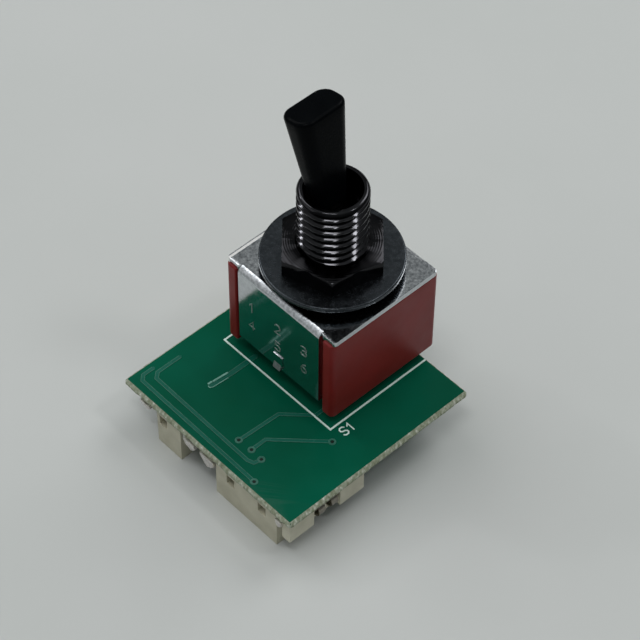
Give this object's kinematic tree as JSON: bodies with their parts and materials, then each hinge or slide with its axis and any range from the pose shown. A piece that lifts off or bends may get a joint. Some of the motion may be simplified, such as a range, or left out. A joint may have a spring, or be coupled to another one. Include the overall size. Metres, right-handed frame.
{
  "type": "toggle switch on circuit board",
  "caption": "Miniature toggle switch with a wedge-shaped lever, threaded bushing, nut and washer, soldered to a small circuit board that stands on shrouded connectors.",
  "frame": {"origin": "on the bushing axis at the top face of the nut, where the free thread begins", "axes": "+Z along the bushing away from the board, X the way the lever is thrown, Y across it"},
  "size_m": [0.0211, 0.0217, 0.032],
  "materials": {
    "board": "dark green glossy lacquer over glass laminate",
    "red_case": "dark red moulded plastic, lightly polished",
    "steel": "bright plated sheet with a fine grain",
    "black_metal": "glossy black plating",
    "black_washer": "satin black plating",
    "dark_steel": "dark plated steel",
    "black_grip": "satin black",
    "nylon": "natural nylon",
    "spring_wire": "bright spring wire",
    "contact": "silver-faced brass",
    "tin": "tinned brass",
    "sealant": "dark cast resin",
    "solder": "bright solder",
    "ivory": "ivory nylon",
    "pin_metal": "tinned brass"
  },
  "bodies": {
    "base": {"circuit_board": "board", "case": "red_case", "frame": "steel", "bushing": "black_metal", "lock_washer": "black_metal", "washer": "black_washer", "hex_nut": "black_metal", "common_1": "tin", "common_2": "tin", "throw_1a": "tin", "throw_1b": "tin", "throw_2a": "tin", "throw_2b": "tin", "seal": "sealant", "solder_joints": "solder", "housing_1": "ivory", "housing_2": "ivory", "housing_4": "ivory", "pins_1": "pin_metal", "pins_2": "pin_metal", "pins_4": "pin_metal", "tabs_1": "tin", "tabs_2": "tin", "tabs_4": "tin", "edge_block": "ivory", "edge_contacts": "pin_metal"},
    "lever": {"lever": "dark_steel", "paddle": "black_grip", "actuator": "nylon", "spring_1": "spring_wire", "spring_2": "spring_wire"},
    "plunger_1": {"plunger_1": "nylon"},
    "plunger_2": {"plunger_2": "nylon"},
    "rocker_1": {"rocker_1": "contact"},
    "rocker_2": {"rocker_2": "contact"}
  },
  "joints": [
    {"name": "lever_throw", "type": "hinge", "parent": "base", "child": "lever", "pos_m": [0, 0, 0.0014], "axis": [0, 1, 0], "range_deg": [0, 22]},
    {"name": "rocker_1_tilt", "type": "hinge", "parent": "base", "child": "rocker_1", "pos_m": [0, -0.0024, -0.00926], "axis": [0, 1, 0], "range_deg": [-12.05, 0]},
    {"name": "rocker_2_tilt", "type": "hinge", "parent": "base", "child": "rocker_2", "pos_m": [0, 0.0024, -0.00926], "axis": [0, 1, 0], "range_deg": [-12.05, 0]},
    {"name": "plunger_1_press", "type": "slide", "parent": "lever", "child": "plunger_1", "axis": [-0.1908, 0, 0.9816], "range_m": [0, 0.0002], "stiffness_N_per_m": 200, "springref_m": -0.001, "deforming": ["spring_1"]},
    {"name": "plunger_2_press", "type": "slide", "parent": "lever", "child": "plunger_2", "axis": [-0.1908, 0, 0.9816], "range_m": [0, 0.0002], "stiffness_N_per_m": 200, "springref_m": -0.001, "deforming": ["spring_2"]}
  ],
  "couplings": [
    {"joint": "rocker_1_tilt", "follows": "lever_throw", "ratio": -0.54546},
    {"joint": "rocker_2_tilt", "follows": "lever_throw", "ratio": -0.54546}
  ]
}
